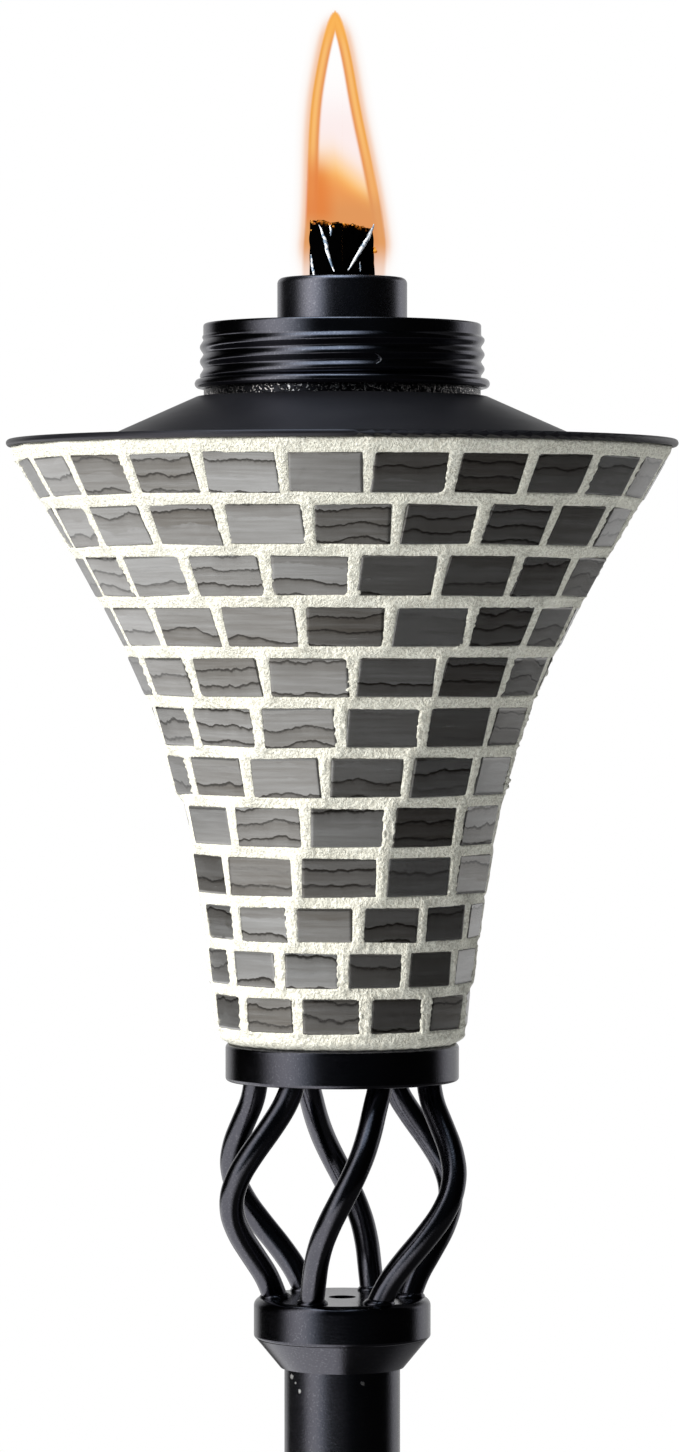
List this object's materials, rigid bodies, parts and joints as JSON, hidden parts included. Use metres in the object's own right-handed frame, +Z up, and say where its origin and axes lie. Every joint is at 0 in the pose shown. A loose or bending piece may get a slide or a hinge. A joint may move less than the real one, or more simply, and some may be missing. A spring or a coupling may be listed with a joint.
{
  "type": "tiki torch",
  "caption": "Garden torch with a mosaic fuel vessel, screw cap and wick, in a twisted bar cage on a push-fit pole with a spike.",
  "frame": {"origin": "on the torch's axis at the soil line, where the lower pole's edge meets the ground spike", "axes": "+Z up along the pole towards the wick, -Y towards the viewer, +X to the viewer's right"},
  "size_m": [0.147, 0.147, 1.6489],
  "materials": {
    "pole_paint": "satin black powder coat",
    "cap_paint": "satin black paint",
    "spike_steel": "black coated forged steel",
    "zinc_steel": "zinc plated",
    "canister_steel": "bare spun steel",
    "mortar": "sanded cream grout",
    "tile_glass": "glossy foil-backed grey glass",
    "gasket_rubber": "matte",
    "wick_braid": "braided fibre, charred at the top"
  },
  "bodies": {
    "base": {"lower_pole": "pole_paint", "ground_spike": "spike_steel"},
    "middle": {"middle_pole": "pole_paint"},
    "head": {"upper_pole": "pole_paint", "hub_cone": "pole_paint", "cage_base": "pole_paint", "cage_ring": "pole_paint", "cage_bar_1": "pole_paint", "cage_bar_2": "pole_paint", "cage_bar_3": "pole_paint", "cage_bar_4": "pole_paint", "cage_bar_5": "pole_paint", "cage_bar_6": "pole_paint", "canister_stud": "zinc_steel", "stud_washer": "zinc_steel", "stud_nut": "zinc_steel", "canister": "canister_steel", "grout": "mortar", "tile_row_01": "tile_glass", "tile_row_02": "tile_glass", "tile_row_03": "tile_glass", "tile_row_04": "tile_glass", "tile_row_05": "tile_glass", "tile_row_06": "tile_glass", "tile_row_07": "tile_glass", "tile_row_08": "tile_glass", "tile_row_09": "tile_glass", "tile_row_10": "tile_glass", "tile_row_11": "tile_glass", "tile_row_12": "tile_glass", "shoulder": "cap_paint", "neck": "cap_paint"},
    "seal": {"cap_gasket": "gasket_rubber"},
    "cap": {"flame_cap": "cap_paint", "wick_collar": "cap_paint", "wick_tube": "zinc_steel"},
    "wick": {"wick": "wick_braid"}
  },
  "joints": [
    {"name": "middle_pole_pull", "type": "slide", "parent": "base", "child": "middle", "axis": [0, 0, 1], "range_m": [0, 0.05]},
    {"name": "upper_pole_pull", "type": "slide", "parent": "middle", "child": "head", "axis": [0, 0, 1], "range_m": [0, 0.05]},
    {"name": "cap_rise", "type": "slide", "parent": "head", "child": "seal", "axis": [0, 0, 1], "range_m": [0, 0.00788]},
    {"name": "cap_turn", "type": "hinge", "parent": "seal", "child": "cap", "pos_m": [0, 0, 1.4779], "axis": [0, 0, 1], "range_deg": [0, 900]},
    {"name": "wick_feed", "type": "slide", "parent": "cap", "child": "wick", "axis": [0, 0, 1], "range_m": [-0.01, 0.012]}
  ],
  "couplings": [
    {"joint": "cap_rise", "follows": "cap_turn", "m_per_rad": 0.00050134}
  ]
}
